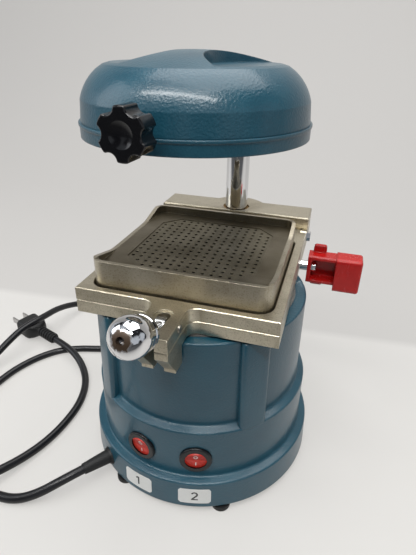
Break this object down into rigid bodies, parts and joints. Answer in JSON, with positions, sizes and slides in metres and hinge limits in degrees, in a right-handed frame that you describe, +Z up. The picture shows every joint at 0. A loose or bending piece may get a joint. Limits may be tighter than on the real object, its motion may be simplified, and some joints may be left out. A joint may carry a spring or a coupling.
{
  "type": "dental vacuum former",
  "caption": "Bench vacuum former: round blue body with two rocker switches, square perforated pan, clamp frame on a rear column, and a round heater head above.",
  "frame": {"origin": "point on the table below the middle of the outline that the machine has without its cord; the round body's axis stands at x -12 mm, y +2 mm", "axes": "+Z up along the body's axis, -Y towards the latch at the front, +X towards the side handle"},
  "size_m": [0.3713, 0.2991, 0.3006],
  "materials": {
    "blue_paint": "glossy",
    "nickel_plate": "brushed",
    "chrome_plate": "polished",
    "steel": "satin",
    "black_rubber": "matte",
    "grey_seal": "matte",
    "black_plastic": "glossy",
    "red_plastic": "glossy",
    "red_rocker": "glossy",
    "black_sheet": "matte",
    "bronze": "satin",
    "aluminium": "satin",
    "ceramic": "matte",
    "element_wire": "matte"
  },
  "bodies": {
    "base": {"base_housing": "blue_paint", "bottom_cover": "black_sheet", "rubber_feet": "black_rubber", "cover_screws": "steel", "switch_bezel_left": "black_plastic", "switch_bezel_right": "black_plastic", "switch_terminals": "bronze", "column": "chrome_plate", "column_nut": "steel", "rest_ring": "black_rubber", "column_collar": "steel", "cord_gland": "black_rubber", "gland_nut": "black_plastic", "power_cord": "black_rubber", "plug_body": "black_rubber", "plug_blades": "nickel_plate", "suction_sleeve": "black_rubber", "fan_cover": "aluminium", "fan_case": "aluminium", "motor_can": "steel", "motor_end_plate": "aluminium", "motor_bearings": "steel", "motor_stator": "steel", "pan_gasket": "grey_seal", "vacuum_pan": "nickel_plate", "perforated_plate": "nickel_plate", "pan_screws": "steel"},
    "fan": {"impeller": "aluminium", "motor_shaft": "steel", "impeller_nut": "steel", "motor_rotor": "steel"},
    "carriage": {"lower_frame": "nickel_plate", "frame_seal": "grey_seal", "carriage_block": "nickel_plate", "carriage_bushes": "bronze", "block_screws": "steel", "hinge_pin": "steel", "hinge_nuts": "steel", "handle_rod": "chrome_plate", "side_handle": "red_plastic"},
    "upper_clamp": {"upper_frame": "nickel_plate", "bolt_pin": "steel"},
    "latch_bolt": {"swing_bolt": "chrome_plate"},
    "latch_nut": {"ball_nut": "chrome_plate"},
    "head": {"head_rim": "blue_paint", "hub_bush": "bronze", "head_cover": "blue_paint", "star_knob": "black_plastic", "reflector_plate": "aluminium", "heater_plate": "ceramic", "heating_coil": "element_wire", "coil_terminals": "ceramic"},
    "rocker_left": {"rocker_left": "red_rocker"},
    "rocker_right": {"rocker_right": "red_rocker"}
  },
  "joints": [
    {"name": "carriage_slide", "type": "slide", "parent": "base", "child": "carriage", "axis": [0, 0, 1], "range_m": [0, 0.075]},
    {"name": "frame_hinge", "type": "hinge", "parent": "carriage", "child": "upper_clamp", "pos_m": [-0.012, 0.0835, 0.1579], "axis": [-1, 0, 0], "range_deg": [0, 20]},
    {"name": "bolt_swing", "type": "hinge", "parent": "upper_clamp", "child": "latch_bolt", "pos_m": [-0.012, -0.081, 0.1579], "axis": [-1, 0, 0], "range_deg": [-105, 0]},
    {"name": "nut_spin", "type": "hinge", "parent": "latch_bolt", "child": "latch_nut", "pos_m": [-0.012, -0.081, 0.1579], "axis": [0, -0.9063, 0.4226], "continuous": true},
    {"name": "head_swing", "type": "hinge", "parent": "base", "child": "head", "pos_m": [-0.012, 0.1024, 0.25], "axis": [0, 0, 1], "range_deg": [-120, 120]},
    {"name": "fan_spin", "type": "hinge", "parent": "base", "child": "fan", "pos_m": [-0.012, 0.002, 0.07], "axis": [0, 0, 1], "continuous": true},
    {"name": "rocker_left_tilt", "type": "hinge", "parent": "base", "child": "rocker_left", "pos_m": [-0.03174, -0.07542, 0.0475], "axis": [-0.969, 0.247, 0], "range_deg": [0, 16]},
    {"name": "rocker_right_tilt", "type": "hinge", "parent": "base", "child": "rocker_right", "pos_m": [0.00774, -0.07542, 0.0475], "axis": [-0.969, -0.247, 0], "range_deg": [0, 16]}
  ]
}
